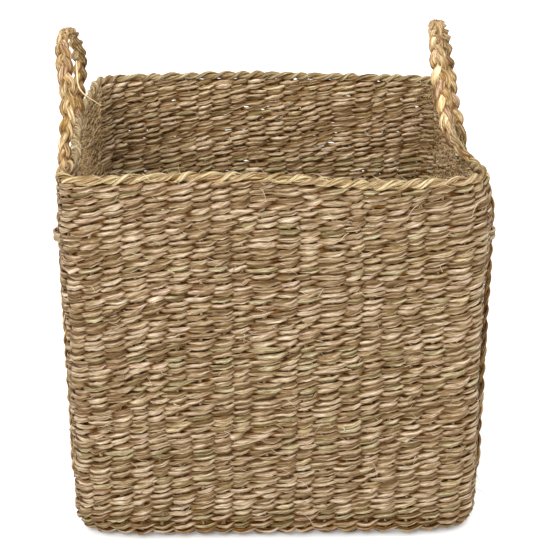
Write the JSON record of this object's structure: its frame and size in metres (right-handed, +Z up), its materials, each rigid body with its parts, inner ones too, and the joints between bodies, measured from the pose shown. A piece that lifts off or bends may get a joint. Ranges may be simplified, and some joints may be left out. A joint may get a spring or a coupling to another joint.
{
  "type": "storage basket",
  "caption": "Square open-topped storage basket twined from seagrass round rope stakes, with a twisted rope rim and a braided loop handle on each side wall.",
  "frame": {"origin": "middle of the underside, where the basket rests", "axes": "+Z up, out of the open top; -Y to the front; +X to the basket's right seen from the front; the handles are on the -X and +X walls"},
  "size_m": [0.4206, 0.4, 0.4877],
  "materials": {
    "seagrass_weft": "matte twisted grass strand",
    "seagrass_base": "matte twisted grass strand",
    "seagrass_stake": "matte grass rope",
    "seagrass_rim": "matte twisted grass rope",
    "seagrass_braid": "slightly glossy dry grass braid",
    "seagrass_lashing": "matte grass strand"
  },
  "bodies": {
    "basket": {"base_weft": "seagrass_base", "corner_stake_back_left": "seagrass_stake", "corner_stake_back_right": "seagrass_stake", "corner_stake_front_left": "seagrass_stake", "corner_stake_front_right": "seagrass_stake", "left_back_lashing": "seagrass_lashing", "left_back_strap": "seagrass_braid", "left_front_lashing": "seagrass_lashing", "left_front_strap": "seagrass_braid", "right_back_lashing": "seagrass_lashing", "right_back_strap": "seagrass_braid", "right_front_lashing": "seagrass_lashing", "right_front_strap": "seagrass_braid", "rim_strand_a": "seagrass_rim", "rim_strand_b": "seagrass_rim", "stake_x_01": "seagrass_stake", "stake_x_02": "seagrass_stake", "stake_x_03": "seagrass_stake", "stake_x_04": "seagrass_stake", "stake_x_05": "seagrass_stake", "stake_x_06": "seagrass_stake", "stake_x_07": "seagrass_stake", "stake_x_08": "seagrass_stake", "stake_x_09": "seagrass_stake", "stake_x_10": "seagrass_stake", "stake_x_11": "seagrass_stake", "stake_x_12": "seagrass_stake", "stake_x_13": "seagrass_stake", "stake_x_14": "seagrass_stake", "stake_x_15": "seagrass_stake", "stake_x_16": "seagrass_stake", "stake_x_17": "seagrass_stake", "stake_x_18": "seagrass_stake", "stake_y_01": "seagrass_stake", "stake_y_02": "seagrass_stake", "stake_y_03": "seagrass_stake", "stake_y_04": "seagrass_stake", "stake_y_05": "seagrass_stake", "stake_y_06": "seagrass_stake", "stake_y_07": "seagrass_stake", "stake_y_08": "seagrass_stake", "stake_y_09": "seagrass_stake", "stake_y_10": "seagrass_stake", "stake_y_11": "seagrass_stake", "stake_y_12": "seagrass_stake", "stake_y_13": "seagrass_stake", "stake_y_14": "seagrass_stake", "stake_y_15": "seagrass_stake", "stake_y_16": "seagrass_stake", "stake_y_17": "seagrass_stake", "stake_y_18": "seagrass_stake", "wall_weft": "seagrass_weft"},
    "left_handle": {"left_handle_strand_1": "seagrass_braid", "left_handle_strand_2": "seagrass_braid", "left_handle_strand_3": "seagrass_braid"},
    "right_handle": {"right_handle_strand_1": "seagrass_braid", "right_handle_strand_2": "seagrass_braid", "right_handle_strand_3": "seagrass_braid"}
  },
  "joints": [
    {"name": "left_handle_swing", "type": "hinge", "parent": "basket", "child": "left_handle", "pos_m": [-0.2041, -0.059, 0.382], "axis": [0, 1, 0], "range_deg": [-90, 75]},
    {"name": "right_handle_swing", "type": "hinge", "parent": "basket", "child": "right_handle", "pos_m": [0.185, -0.059, 0.382], "axis": [0, -1, 0], "range_deg": [-90, 60]}
  ]
}
